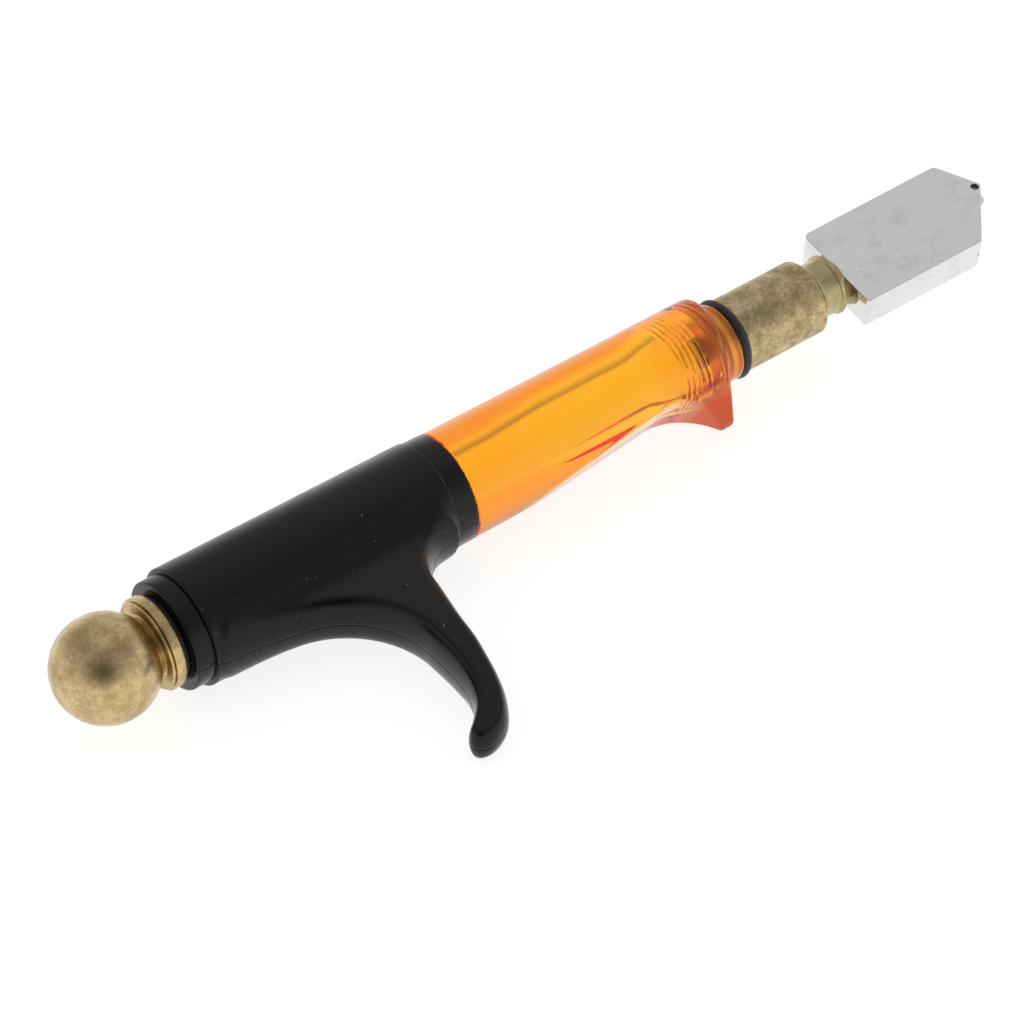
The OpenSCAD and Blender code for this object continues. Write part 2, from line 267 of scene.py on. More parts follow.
class Look:
    """A node material around one Principled shader, with noise in object coordinates."""

    def __init__(self, name, **settings):
        self.material = bpy.data.materials.new(name)
        self.material.use_nodes = True
        self.nodes = self.material.node_tree.nodes
        self.links = self.material.node_tree.links
        self.shader = self.nodes["Principled BSDF"]
        self.place = self.nodes.new("ShaderNodeTexCoord").outputs["Object"]
        for key, value in settings.items():
            self.shader.inputs[key.replace("_", " ")].default_value = value

    def link(self, output, node, socket):
        self.links.new(output, node.inputs[socket])

    def noise(self, per_mm, detail=4.0, rough=0.55, squeeze=(1, 1, 1)):
        mapping = self.nodes.new("ShaderNodeMapping")
        mapping.inputs["Scale"].default_value = [per_mm / MM * s for s in squeeze]
        self.link(self.place, mapping, "Vector")
        noise = self.nodes.new("ShaderNodeTexNoise")
        noise.inputs["Scale"].default_value = 1.0
        noise.inputs["Detail"].default_value = detail
        noise.inputs["Roughness"].default_value = rough
        self.link(mapping.outputs[0], noise, "Vector")
        return noise.outputs["Fac"]

    def ramp(self, source, *stops):
        return colour_ramp(self.nodes, self.links, source, stops)

    def vary(self, noise, low, high):
        """Colour or grey that goes from low to high with a noise."""
        return self.ramp(noise, (NOISE_LOW, low), (NOISE_HIGH, high))

    def rise(self, value, start, end, span):
        """0 up to start and 1 from end on, for a value in millimetres from 0 to span."""
        share = self.math("MULTIPLY", value, 1 / span)
        return self.ramp(share, (start / span, 0), (end / span, 1))

    def mix(self, factor, a, b, blend="MIX"):
        """Mixes two colours, each a socket or a plain colour."""
        mix = self.nodes.new("ShaderNodeMix")
        mix.data_type, mix.blend_type = "RGBA", blend
        for socket, value in ((0, factor), (6, a), (7, b)):
            if isinstance(value, bpy.types.NodeSocket):
                self.links.new(value, mix.inputs[socket])
            else:
                mix.inputs[socket].default_value = value if socket == 0 else (*value, 1)
        return mix.outputs[2]

    def math(self, operation, a, b=0.0):
        node = self.nodes.new("ShaderNodeMath")
        node.operation = operation
        for socket, value in enumerate((a, b)):
            if isinstance(value, bpy.types.NodeSocket):
                self.links.new(value, node.inputs[socket])
            else:
                node.inputs[socket].default_value = value
        return node.outputs[0]

    def along(self, direction):
        """Object coordinate in the direction, in millimetres."""
        dot = self.nodes.new("ShaderNodeVectorMath")
        dot.operation = "DOT_PRODUCT"
        dot.inputs[1].default_value = Vector(direction) / MM
        self.link(self.place, dot, 0)
        return dot.outputs["Value"]

    def line(self, value, at, half_width):
        """1 on the line where value equals at, fading to 0 at half_width."""
        distance = self.math("ABSOLUTE", self.math("SUBTRACT", value, at))
        spread = self.nodes.new("ShaderNodeMapRange")
        spread.inputs["From Min"].default_value = half_width
        spread.inputs["From Max"].default_value = 0.0
        self.link(distance, spread, "Value")
        return spread.outputs[0]

    def colour(self, output):
        self.link(output, self.shader, "Base Color")

    def roughness(self, source, low, high):
        spread = self.nodes.new("ShaderNodeMapRange")
        spread.inputs["From Min"].default_value = NOISE_LOW
        spread.inputs["From Max"].default_value = NOISE_HIGH
        spread.inputs["To Min"].default_value = low
        spread.inputs["To Max"].default_value = high
        self.link(source, spread, "Value")
        self.link(spread.outputs[0], self.shader, "Roughness")

    def bump(self, height, depth_mm, strength=1.0):
        bump = self.nodes.new("ShaderNodeBump")
        bump.inputs["Strength"].default_value = strength
        bump.inputs["Distance"].default_value = depth_mm * MM
        self.link(height, bump, "Height")
        previous = self.shader.inputs["Normal"].links
        if previous:
            self.link(previous[0].from_socket, bump, "Normal")
        self.link(bump.outputs[0], self.shader, "Normal")


# ---------------------------------------------------------------- materials
CLEAN_BRASS = (0.98, 0.64, 0.27)
FIN_ORANGE = (0.90, 0.135, 0.008)
NOSE_AMBER = (1.0, 0.72, 0.20)


def tarnished_brass(name, light, dark, stain, stain_amount, rough, clean_before=None):
    """Old brass: fine dark speckle, larger mottling and brown stains.

    The metal stays clean behind the station clean_before."""
    look = Look(name, Metallic=1.0)
    clouds = look.noise(0.35, 6, 0.7)
    speckle = look.noise(1.7, 6, 0.8)
    patches = look.noise(0.16, 6, 0.7)
    body = look.mix(look.ramp(clouds, (0.38, 0), (0.66, 1)), light, dark)
    specked = look.mix(look.ramp(speckle, (0.49, 0), (0.62, 0.9)), body, dark)
    stained = look.mix(look.ramp(patches, (0.53, 0), (0.70, stain_amount)), specked, stain)
    if clean_before is not None:
        kept = look.math("LESS_THAN", look.along((1, 0, 0)), clean_before)
        stained = look.mix(kept, stained, CLEAN_BRASS)
    look.colour(stained)
    look.roughness(clouds, *rough)
    look.bump(speckle, 0.03, 0.6)
    look.bump(clouds, 0.03, 0.4)
    return look.material


def black_plastic():
    """Moulded black plastic: soft gloss, faint ripple, a parting line, specks of dust.

    The front ring's edge has a pale line painted on it as a highlight."""
    deep_black, painted_highlight_grey = (0.004, 0.0038, 0.0036), (0.16, 0.155, 0.15)
    dust_grey = (0.35, 0.34, 0.32)
    look = Look("black_plastic", IOR=1.5)
    look.shader.inputs["Specular IOR Level"].default_value = 0.26
    ripple = look.noise(0.25, 3)
    grain = look.noise(6.0, 2)
    dust = look.ramp(look.noise(2.3, 1, 0.4), (0.80, 0), (0.82, 1))
    # Painted highlight: a pale grey line along the front ring's step, broken up by the ripple
    # noise.
    ring_edge_highlight = look.line(look.along((1, 0, 0)), SADDLE_BODY_FRONT, 0.13)
    wear_and_painted_highlight = look.math("MULTIPLY", ring_edge_highlight, look.ramp(ripple, (0.4, 0.2), (0.6, 1)))
    body = look.mix(wear_and_painted_highlight, deep_black, painted_highlight_grey)
    look.colour(look.mix(dust, body, dust_grey))
    look.roughness(ripple, 0.16, 0.3)
    parting = look.line(look.along(HOOK_UP), 0.0, 0.2)
    look.bump(look.math("MULTIPLY", parting, -1.0), 0.2)
    look.bump(ripple, 0.05, 0.3)
    look.bump(grain, 0.004, 0.4)
    return look.material


def amber_acrylic():
    """Clear amber acrylic: colour comes from the depth of the wall, with a deeper tint at the nose.

    The fin, below the axis near the nose, is rubbed cloudy."""
    nose_zone, nose_forward, fin_forward, fin_depth = 20, (8.4, 12.4), (6, 12), (6.4, 8.6)
    fin_cloud, fin_matte = 0.62, 0.35
    look = Look("amber_acrylic", IOR=1.49)
    scuffs = look.noise(0.8, 6, 0.75, squeeze=(1, 3, 3))
    waves = look.noise(0.16, 2)
    clear = look.vary(waves, (1.0, 0.92, 0.40), (1.0, 0.96, 0.48))
    wear_and_painted_highlight = look.ramp(scuffs, (0.62, 0.3), (0.74, 0.46))
    down = look.along((0, -math.cos(REST_ROLL), -math.sin(REST_ROLL)))
    forward = look.math("SUBTRACT", look.along((1, 0, 0)), NOSE_X - nose_zone)
    low = look.rise(down, *fin_depth, 10)
    fin = look.math("MULTIPLY", low, look.rise(forward, *fin_forward, nose_zone))
    body = look.mix(look.rise(forward, *nose_forward, nose_zone), clear, NOSE_AMBER)
    look.colour(look.mix(fin, body, FIN_ORANGE))
    clarity = look.math("SUBTRACT", 1.0, look.math("MULTIPLY", fin, fin_cloud))
    look.link(clarity, look.shader, "Transmission Weight")
    matte = look.math("MULTIPLY", fin, fin_matte)
    look.roughness(look.mix(1.0, wear_and_painted_highlight, matte, "ADD"), 0.01, 0.45)
    look.bump(waves, 0.05, 0.12)
    absorb = look.nodes.new("ShaderNodeVolumeAbsorption")
    absorb.inputs["Color"].default_value = (0.998, 0.835, 0.004, 1)
    absorb.inputs["Density"].default_value = 420
    look.link(absorb.outputs[0], look.nodes["Material Output"], "Volume")
    return look.material


def rubber():
    look = Look("black_rubber")
    grain = look.noise(5.0, 3)
    look.colour(look.vary(grain, (0.010, 0.010, 0.011), (0.022, 0.021, 0.020)))
    look.roughness(grain, 0.35, 0.6)
    look.bump(grain, 0.02, 0.4)
    return look.material


def chrome():
    """Bright plating with faint smudges, fine pits and hairline scratches."""
    look = Look("head_chrome", Metallic=1.0)
    smudge = look.noise(0.17, 8, 0.78)
    scratch = look.noise(0.9, 3, 0.6, squeeze=(0.12, 4, 4))
    pits = look.ramp(look.noise(2.2, 2, 0.5), (0.72, 1), (0.76, 0.35))
    clean = look.ramp(smudge, (0.50, (0.775, 0.765, 0.775)), (0.66, (0.66, 0.65, 0.66)))
    look.colour(look.mix(1.0, clean, pits, "MULTIPLY"))
    look.roughness(smudge, 0.06, 0.14)
    look.bump(scratch, 0.006, 0.25)
    look.bump(pits, 0.02, 0.4)
    return look.material


def steel(name, light, dark, low, high):
    """Turned steel with fine machining marks."""
    look = Look(name, Metallic=1.0)
    marks = look.noise(4.0, 3, 0.6, squeeze=(1, 0.15, 0.15))
    look.colour(look.vary(marks, dark, light))
    look.roughness(marks, low, high)
    look.bump(marks, 0.008, 0.4)
    return look.material


def pale_plastic():
    look = Look("pale_plastic", Roughness=0.45)
    grain = look.noise(3.0, 3)
    look.colour(look.vary(grain, (0.72, 0.66, 0.52), (0.86, 0.81, 0.70)))
    look.roughness(grain, 0.35, 0.55)
    look.bump(grain, 0.01, 0.3)
    return look.material


def cotton():
    look = Look("wick_cotton", Roughness=0.9)
    twist = look.noise(1.6, 4, 0.6, squeeze=(0.4, 2, 2))
    look.colour(look.vary(twist, (0.52, 0.44, 0.30), (0.86, 0.80, 0.66)))
    look.bump(twist, 0.1, 0.8)
    return look.material


KNOB_BRASS = tarnished_brass(
    "knob_brass", (0.70, 0.545, 0.29), (0.42, 0.30, 0.14), (0.26, 0.14, 0.06), 0.45, (0.22, 0.36))
FERRULE_BRASS = tarnished_brass(
    "ferrule_brass", (0.66, 0.54, 0.31), (0.32, 0.24, 0.115), (0.24, 0.12, 0.05), 0.6,
    (0.34, 0.5), SPIGOT_FRONT + 0.5)
BUSH_BRASS = tarnished_brass(
    "bush_brass", (0.56, 0.48, 0.27), (0.40, 0.33, 0.17), (0.26, 0.16, 0.08), 0.25, (0.2, 0.32))
PLASTIC = black_plastic()
ACRYLIC = amber_acrylic()
RUBBER = rubber()
CHROME = chrome()
STEEL = steel("bright_steel", (0.66, 0.66, 0.67), (0.42, 0.42, 0.43), 0.2, 0.4)
AXLE_STEEL = steel("axle_steel", (0.30, 0.30, 0.31), (0.12, 0.12, 0.12), 0.3, 0.5)
CARBIDE = steel("wheel_carbide", (0.72, 0.72, 0.74), (0.50, 0.50, 0.52), 0.15, 0.3)
PALE = pale_plastic()
COTTON = cotton()


# ---------------------------------------------------------------- knob and washer
def thread(start, end, root, crest, pitch=1.0):
    """Outline points of thread ridges from start to end, which may run either way."""
    crest_from, crest_to = 0.35, 0.6
    step = pitch if end > start else -pitch
    points = []
    for k in range(int(abs(end - start) / pitch)):
        x = start + k * step
        points += [(x, root), (x + step * crest_from, crest), (x + step * crest_to, crest)]
    return points


def make_knob():
    """Ball, neck, flange with a bead behind its band, and the threaded stud."""
    flange_front = WASHER_REAR
    flange_rear = flange_front - 2.35
    neck_r, bead_r, core_r, band_r = 5.0, 0.28, 6.92, 7.6
    stud_root_r, stud_crest_r, thread_rear = 3.1, 3.43, -2.6
    meet = math.degrees(math.asin(neck_r / BALL_R))
    outline = arc(BALL_X, 0, BALL_R, 180, meet, 64)
    outline[0] = (BALL_X - BALL_R, 0)
    neck_front = flange_rear + 0.1
    outline += [(neck_front - 0.35, neck_r), (neck_front, neck_r + 0.4)]
    outline += arc(flange_rear + bead_r, core_r, bead_r, 200, 40, 12)
    band_rear = flange_rear + 2 * bead_r
    band = softened([
        (band_rear, core_r + 0.05), (band_rear + 0.02, band_r, 0.16),
        (flange_front, band_r - 0.05, 0.3), (flange_front, stud_root_r)])
    outline += band
    outline += thread(thread_rear, STUD_FRONT - 0.2, stud_root_r, stud_crest_r)
    outline += [(STUD_FRONT - 0.3, 3.0), (STUD_FRONT, 2.7), (STUD_FRONT, 0)]
    knob = smooth(lathe("ball_knob_turned", outline, 160), 32)
    return place(knob, "knob", "knob_brass", KNOB_BRASS, "ball_knob")


def make_washer():
    hole_r, outer_r, edge = 3.5, 6.9, 0.2
    outline = softened([
        (WASHER_REAR, hole_r), (WASHER_REAR, outer_r, edge), (WASHER_FRONT, outer_r, edge),
        (WASHER_FRONT, hole_r)])
    washer = smooth(lathe("cap_washer_ring", outline))
    return place(washer, "knob_washer", "black_rubber", RUBBER, "cap_washer")


# ---------------------------------------------------------------- saddle with its hook
SADDLE_REAR_R, SADDLE_FRONT_R, END_RING_R = 9.75, 9.25, 9.0


def curve_through(points, per_span=6):
    """Smooth curve through the points (Catmull-Rom)."""
    p = np.array([points[0], *points, points[-1]], float)
    t = np.linspace(0, 1, per_span, endpoint=False)[:, None]
    spans = [
        0.5 * (2 * p[i] + (p[i + 1] - p[i - 1]) * t
               + (2 * p[i - 1] - 5 * p[i] + 4 * p[i + 1] - p[i + 2]) * t**2
               + (3 * p[i] - p[i - 1] - 3 * p[i + 1] + p[i + 2]) * t**3)
        for i in range(1, len(p) - 2)
    ]
    return [tuple(q) for q in np.concatenate(spans)] + [tuple(points[-1])]


def hook_outline():
    """The hook in its own plane: rear curve, curled tip, front curve and both roots."""
    rear = arc(10.5, -27, 15.4, 77.4, 4, 20)
    front = arc(44.2, -19.8, 9.9, 176, 92, 16)
    lower = [
        (25.9, -29), (25.85, -32.5), (25.3, -37), (23.9, -40.8), (21.9, -43.2),
        (19.9, -45), (19.5, -46.5), (20.5, -47.8), (22.8, -48), (26, -46.4),
        (28.4, -43.2), (30.0, -39.4), (31.2, -35), (32.1, -31), (32.7, -27), (33.5, -23)]
    return [(2.0, -6.0), (2.0, -9.32), *rear, *curve_through(lower), *front, (43.5, -6.0)]


def polygon_distance(px, py, outline):
    """Signed distance to a closed polygon, negative inside."""
    best = np.full(px.shape, 1e9)
    inside = np.zeros(px.shape, bool)
    for (ax, ay), (bx, by) in zip(outline, outline[1:] + outline[:1]):
        ex, ey = bx - ax, by - ay
        if ex * ex + ey * ey < 1e-12:
            continue
        along = np.clip(((px - ax) * ex + (py - ay) * ey) / (ex * ex + ey * ey), 0, 1)
        best = np.minimum(best, (px - ax - along * ex) ** 2 + (py - ay - along * ey) ** 2)
        crosses = (ay > py) != (by > py)
        reach = ax + (py - ay) * ex / (ey if abs(ey) > 1e-12 else 1e-12)
        inside ^= crosses & (px < reach)
    return np.where(inside, -1, 1) * np.sqrt(best)


def blended(a, b, reach):
    """Smooth union of two distances."""
    h = np.clip(0.5 + 0.5 * (b - a) / reach, 0, 1)
    return b + (a - b) * h - reach * h * (1 - h)


# The hook's half thickness, and how far its edge is rounded in, from its tip to its root.
HOOK_OUTLINE = hook_outline()
HOOK_AT_Y = [-49, -46, -41.8, -37, -32, -27, -21, -14, -9]
HOOK_HALF_T = [2.5, 2.95, 3.55, 4.2, 4.7, 4.8, 4.7, 4.5, 4.2]
HOOK_EDGE = [1.2, 1.2, 1.4, 1.6, 1.7, 1.8, 1.9, 2.0, 2.0]


def hook_field(x, y, z):
    """The hook and its blend into the saddle's wall, which the turned moulding overlaps."""
    core_r, blend, inset = 7.0, 2.2, 0.02
    rear, front = 0.5, SADDLE_BODY_FRONT - 0.35
    half_t = np.interp(y, HOOK_AT_Y, HOOK_HALF_T)
    edge = np.interp(y, HOOK_AT_Y, HOOK_EDGE)
    depth = np.maximum(1 + polygon_distance(x, y, HOOK_OUTLINE) / edge, 0)
    hook = (np.sqrt((z / half_t) ** 2 + depth**2) - 1) * np.minimum(half_t, edge)
    radial = np.sqrt(y**2 + z**2)
    along = np.clip(x / SADDLE_BODY_FRONT, 0, 1)
    body_r = SADDLE_REAR_R + (SADDLE_FRONT_R - SADDLE_REAR_R) * along
    body = np.maximum.reduce([radial - body_r + inset, rear + 0.1 - x, x - front + 0.05])
    solid = blended(hook, body, blend)
    return np.maximum.reduce([solid, core_r - radial, rear - x, x - front, y + 1])


def make_saddle():
    tail_r = 5.85
    outline = softened([
        (SADDLE_REAR, tail_r, 0.2), (SADDLE_REAR, END_RING_R, 0.35), (-0.02, END_RING_R),
        (0.0, SADDLE_REAR_R, 0.3), (SADDLE_BODY_FRONT, SADDLE_FRONT_R, 0.22),
        (SADDLE_BODY_FRONT + 0.02, END_RING_R), (SADDLE_FRONT, END_RING_R - 0.05, 0.3),
        (SADDLE_FRONT, tail_r, 0.2)])
    saddle = lathe("saddle_moulding", outline, 192)
    hook = skin("hook", hook_field, (-0.5, -50, -11), (46, 0, 11))
    combine(saddle, hook, "UNION")
    saddle.data.transform(Matrix.Rotation(HOOK_DROP, 4, "X"))
    smooth(saddle, 28)
    return place(saddle, "saddle", "black_plastic", PLASTIC, "saddle")


# ---------------------------------------------------------------- clear barrel
NOSE_RAKE = math.radians(11)
BARREL_REAR_R, BARREL_NOSE_R = 8.9, 8.55
FIN_TIP_R, FIN_TIP_AT = 1.3, 11.2
FIN_REACH_BACK, FIN_GROWTH = 24, 8
SCOOP_X, SCOOP_Y, SCOOP_R, SCOOP_EDGE = NOSE_X - 14.35, -14.7, 8.6, 0.3
RAMP_BACK, RAMP_Y = 28.2, -9.06  # the ramp's start, behind the bowl's middle and below the axis


def round_meet(a, b, radius):
    """Intersection of two distances, with its edge rounded."""
    outside = np.hypot(np.maximum(a + radius, 0), np.maximum(b + radius, 0))
    return np.minimum(np.maximum(a, b), -radius) + outside


def teardrop(across, along, r1, r2, reach):
    """Distance to two circles, one at 0 and one at reach, and the tangents that join them."""
    reach = np.maximum(reach, r1 - r2 + 0.05)
    b = (r1 - r2) / reach
    a = np.sqrt(1 - b * b)
    across = np.abs(across)
    k = -b * across + a * along
    side = across * a + along * b - r1
    near = np.hypot(across, along) - r1
    far = np.hypot(across, along - reach) - r2
    return np.where(k < 0, near, np.where(k > a * reach, far, side))


def scoop_field(x, down):
    """The finger rest's hollow: a round bowl, and a flat ramp that runs into it from behind."""
    bowl = np.hypot(x - SCOOP_X, down + SCOOP_Y) - SCOOP_R
    start_x, start_y = -RAMP_BACK, RAMP_Y - SCOOP_Y
    turn = math.atan2(start_y, start_x) - math.acos(SCOOP_R / math.hypot(start_x, start_y))
    ramp = (SCOOP_X - x) * -math.cos(turn) + (-down - SCOOP_Y) * math.sin(turn) - SCOOP_R
    flat = np.maximum(ramp, x - SCOOP_X - SCOOP_R * math.cos(turn))
    return np.minimum(bowl, flat)


def barrel_field(x, y, z):
    """The barrel's outside: a round body that grows a fin below, the scoop, and a raked nose."""
    down = -(y * math.cos(REST_ROLL) + z * math.sin(REST_ROLL))
    across = z * math.cos(REST_ROLL) - y * math.sin(REST_ROLL)
    along = np.clip((x - BARREL_REAR) / (NOSE_X - BARREL_REAR), 0, 1)
    body_r = BARREL_REAR_R + (BARREL_NOSE_R - BARREL_REAR_R) * along
    grow = np.clip((x - NOSE_X + FIN_REACH_BACK) / FIN_GROWTH, 0, 1)
    grow = grow * grow * (3 - 2 * grow)
    reach = body_r - FIN_TIP_R + (FIN_TIP_AT - BARREL_NOSE_R + FIN_TIP_R) * grow
    outside = teardrop(across, down, body_r, FIN_TIP_R, reach)
    scooped = round_meet(outside, -scoop_field(x, down), SCOOP_EDGE)
    rake_at = BARREL_NOSE_R - 2.2
    front = (x - NOSE_X) * math.cos(NOSE_RAKE) + (down + rake_at) * math.sin(NOSE_RAKE)
    edge = np.interp(-down, [-9, 7], [0.6, 1.7])
    nosed = round_meet(scooped, front, edge)
    return np.maximum(nosed, BARREL_REAR - x)


STUB_ROOT, STUB_CREST = 4.98, 5.2


def stub_outline(offset):
    """The ferrule's threaded stub, grown by the offset. The clear barrel's thread is a little
    tighter than the stub, so that the brass shows through it with no gap."""
    outline = [(FERRULE_STUB, STUB_ROOT - 0.3), (FERRULE_STUB + 0.2, STUB_ROOT)]
    outline += thread(FERRULE_STUB + 0.5, SPIGOT_FRONT - 0.5, STUB_ROOT, STUB_CREST)
    return [(x, r + offset) for x, r in [*outline, (SPIGOT_FRONT - 0.3, STUB_ROOT)]]


def make_barrel():
    low, high = (BARREL_REAR - 1, -13.5, -13.5), (NOSE_X + 1, 10, 10)
    barrel = skin("amber_barrel", barrel_field, low, high)
    tail_r, channel_r, reservoir_r, spigot_r = 5.8, 3.5, 4.1, 6.4
    tail_front, spigot_rear = BARREL_REAR + 2, NOSE_X - 5
    reservoir_rear, nose_thread_rear = 63.3, SPIGOT_FRONT - 12.3
    taper, eased, overrun, shrink = 5, 60, 1, 0.04
    tail = lathe("tail", softened([
        (BARREL_TAIL, 0), (BARREL_TAIL, tail_r, 0.3), (tail_front, tail_r), (tail_front, 0)]))
    spigot = lathe("spigot", softened([
        (spigot_rear, 0), (spigot_rear, spigot_r), (SPIGOT_FRONT, spigot_r, 0.25),
        (SPIGOT_FRONT, 0)]))
    bore = lathe("bore", [
        (BARREL_TAIL - overrun, 0),
        *softened([(BARREL_TAIL - overrun, channel_r), (reservoir_rear - taper, channel_r, eased),
                   (reservoir_rear + taper, reservoir_r, eased),
                   (nose_thread_rear - taper, reservoir_r, eased / 5),
                   (nose_thread_rear + 0.4, STUB_ROOT)], 8),
        *thread(nose_thread_rear + 0.5, FERRULE_STUB - 0.5, STUB_ROOT, STUB_CREST),
        (FERRULE_STUB - 0.05, STUB_ROOT), (FERRULE_STUB + 0.05, STUB_ROOT - 0.35),
        *stub_outline(-shrink), (SPIGOT_FRONT + overrun, STUB_ROOT), (SPIGOT_FRONT + overrun, 0)])
    combine(barrel, tail, "UNION")
    combine(barrel, spigot, "UNION")
    combine(barrel, bore, "DIFFERENCE")
    smooth(barrel, 25)
    return place(barrel, "handle", "amber_acrylic", ACRYLIC, "barrel")


# ---------------------------------------------------------------- ferrule, bush and O-ring
def make_oring():
    middle = (SPIGOT_FRONT + FERRULE_REAR) / 2
    section = (FERRULE_REAR - SPIGOT_FRONT) / 2
    ring_r, sides = 5.95, 24
    around = arc(middle, ring_r, section, 0, 360 - 360 / sides, sides - 1)
    ring = lathe("nose_oring_ring", around)
    return place(smooth(ring, 60), "handle", "black_rubber", RUBBER, "nose_oring")


def make_ferrule():
    ferrule_r, bush_r, chamber_r, oil_way_r = 6.2, 4.4, 3.65, 1.6
    chamber_rear = FERRULE_REAR + 0.8
    outline = [(FERRULE_STUB, oil_way_r), *stub_outline(0)]
    outline += softened([
        (FERRULE_REAR - 0.05, STUB_ROOT), (FERRULE_REAR, ferrule_r, 0.25),
        (FERRULE_FRONT, ferrule_r, 0.5), (FERRULE_FRONT, bush_r), (BUSH_REAR, bush_r),
        (BUSH_REAR, chamber_r), (chamber_rear, chamber_r), (chamber_rear, oil_way_r)])
    ferrule = lathe("ferrule_turned", outline, 144)
    return place(smooth(ferrule, 32), "handle", "ferrule_brass", FERRULE_BRASS, "ferrule")


def make_bush():
    bore_r, outer_r, waist_r, lip_r, cove_r = 3.65, 4.38, 4.5, 5.0, 1.8
    cove = arc(FERRULE_FRONT + 1.7, waist_r + cove_r, cove_r, 226, 272, 10)
    outline = [
        (BUSH_REAR, bore_r), (BUSH_REAR, outer_r), (FERRULE_FRONT, outer_r),
        (FERRULE_FRONT, lip_r), *cove, (BUSH_FRONT - 0.65, waist_r + 0.16)]
    outline += softened([
        (BUSH_FRONT - 0.55, lip_r - 0.15), (BUSH_FRONT - 0.4, lip_r, 0.1),
        (BUSH_FRONT, lip_r, 0.12), (BUSH_FRONT, bore_r)])
    bush = lathe("neck_bush_turned", outline, 144)
    return place(smooth(bush, 32), "handle", "bush_brass", BUSH_BRASS, "neck_bush")


# ---------------------------------------------------------------- head, axle and wheel
HEAD_W, HEAD_T = 16.8, 5.8
NEAR_SHOULDER, FAR_SHOULDER, TIP_OFFSET = 23.1, 26.8, 1.3


def tool_block(name, low, high):
    """Plain box used as a cutter, in the head's own frame."""
    points = [(x, y, z) for x in (low[0], high[0]) for y in (low[1], high[1])
              for z in (low[2], high[2])]
    faces = [(0, 1, 3, 2), (4, 6, 7, 5), (0, 4, 5, 1), (2, 3, 7, 6), (0, 2, 6, 4), (1, 5, 7, 3)]
    block = make_mesh(name, points, faces)
    block.data.transform(HEAD_FRAME)
    return block


def across_head(obj):
    """Turns a lathe piece to lie along the wheel's axle."""
    obj.data.transform(Matrix.Rotation(math.radians(-90), 4, "Y"))
    obj.data.transform(Matrix.Translation(Vector(WHEEL["pos_m"])) @ HEAD_FRAME)
    return obj


def make_head():
    """Flat bar with a wedge tip, slotted for the wheel, drilled for the axle and the shank."""
    half = HEAD_W / 2
    axle_hole_r, socket_r, socket_front = 0.68, 2.0, HEAD_BACK + 7.3
    outline = softened([
        (HEAD_BACK, -half, 0.6), (HEAD_BACK + NEAR_SHOULDER, -half, 0.9),
        (HEAD_TIP, TIP_OFFSET, 0.4), (HEAD_BACK + FAR_SHOULDER, half, 1.2),
        (HEAD_BACK, half, 1.2)], 6)
    count = len(outline)
    points = [(x, y, z) for z in (-HEAD_T / 2, HEAD_T / 2) for x, y in outline]
    faces = [tuple(range(count)), tuple(range(count, 2 * count))]
    faces += [(k, (k + 1) % count, count + (k + 1) % count, count + k) for k in range(count)]
    head = make_mesh("head_block_plated", points, faces)
    bevel = head.modifiers.new("bevel", "BEVEL")
    bevel.width, bevel.segments, bevel.limit_method = 0.16 * MM, 3, "ANGLE"
    bevel.angle_limit = math.radians(50)
    bake(head)
    head.data.transform(HEAD_FRAME)
    slot_half, slot_back = 0.55, HEAD_BACK + NEAR_SHOULDER - 0.5
    slot = tool_block("slot", (slot_back, -12, -slot_half), (HEAD_TIP + 2, 12, slot_half))
    combine(head, slot, "DIFFERENCE")
    hole = across_head(lathe("hole", [
        (-HEAD_T, 0), (-HEAD_T, axle_hole_r), (HEAD_T, axle_hole_r), (HEAD_T, 0)], 64))
    combine(head, hole, "DIFFERENCE")
    socket = lathe("socket", [
        (HEAD_BACK - 1, 0), (HEAD_BACK - 1, socket_r), (socket_front, socket_r),
        (socket_front, 0)])
    combine(head, socket, "DIFFERENCE")
    smooth(head, 30)
    return place(head, "head", "head_chrome", CHROME, "head_block")


def make_axle():
    pin_r, edge = 0.6, 0.1
    low, high = -HEAD_T / 2 + 0.55, HEAD_T / 2 - 0.45
    outline = softened([(low, 0), (low, pin_r, edge), (high, pin_r, edge), (high, 0)])
    axle = across_head(lathe("axle_pin_turned", outline, 48))
    return place(smooth(axle), "head", "axle_steel", AXLE_STEEL, "axle_pin")


def make_wheel():
    bore_r, side_r, shoulder_r, rim_r = 0.65, 1.3, 1.42, 1.86
    half_t, shoulder = 0.5, 0.42
    outline = [
        (-half_t, bore_r), (-half_t, side_r), (-shoulder, shoulder_r), (0, rim_r),
        (shoulder, shoulder_r), (half_t, side_r), (half_t, bore_r)]
    wheel = across_head(lathe("cutting_wheel_ground", outline, 96))
    return place(smooth(wheel, 20), "wheel", "wheel_carbide", CARBIDE, "cutting_wheel")


# ---------------------------------------------------------------- spring and hidden pieces
def make_spring():
    """Coil of round wire with closed ends."""
    wire_r, coil_r, turns, sides, per_turn = 0.35, 2.6, 5.5, 12, 32
    low, high = ends("return_spring")
    rear, front = low + wire_r, high - wire_r
    count = int(turns * per_turn)
    points, faces = [], []
    for i in range(count + 1):
        turn = i / per_turn
        closed = 2 * wire_r
        if turn < 1:
            x = rear + closed * turn
        elif turn > turns - 1:
            x = front - closed * (turns - turn)
        else:
            x = rear + closed + (front - rear - 2 * closed) * (turn - 1) / (turns - 2)
        a = 2 * math.pi * turn
        for k in range(sides):
            b = 2 * math.pi * k / sides
            r = coil_r + wire_r * math.cos(b)
            points.append((x + wire_r * math.sin(b), r * math.cos(a), r * math.sin(a)))
    for i in range(count):
        for k in range(sides):
            n = (k + 1) % sides
            faces.append((i * sides + k, i * sides + n, (i + 1) * sides + n, (i + 1) * sides + k))
    faces.append(tuple(range(sides)))
    faces.append(tuple(range(count * sides, (count + 1) * sides)))
    spring = smooth(make_mesh("return_spring_coil", points, faces), 40)
    place(spring, "handle", "bright_steel", STEEL, "return_spring")
    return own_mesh(spring)


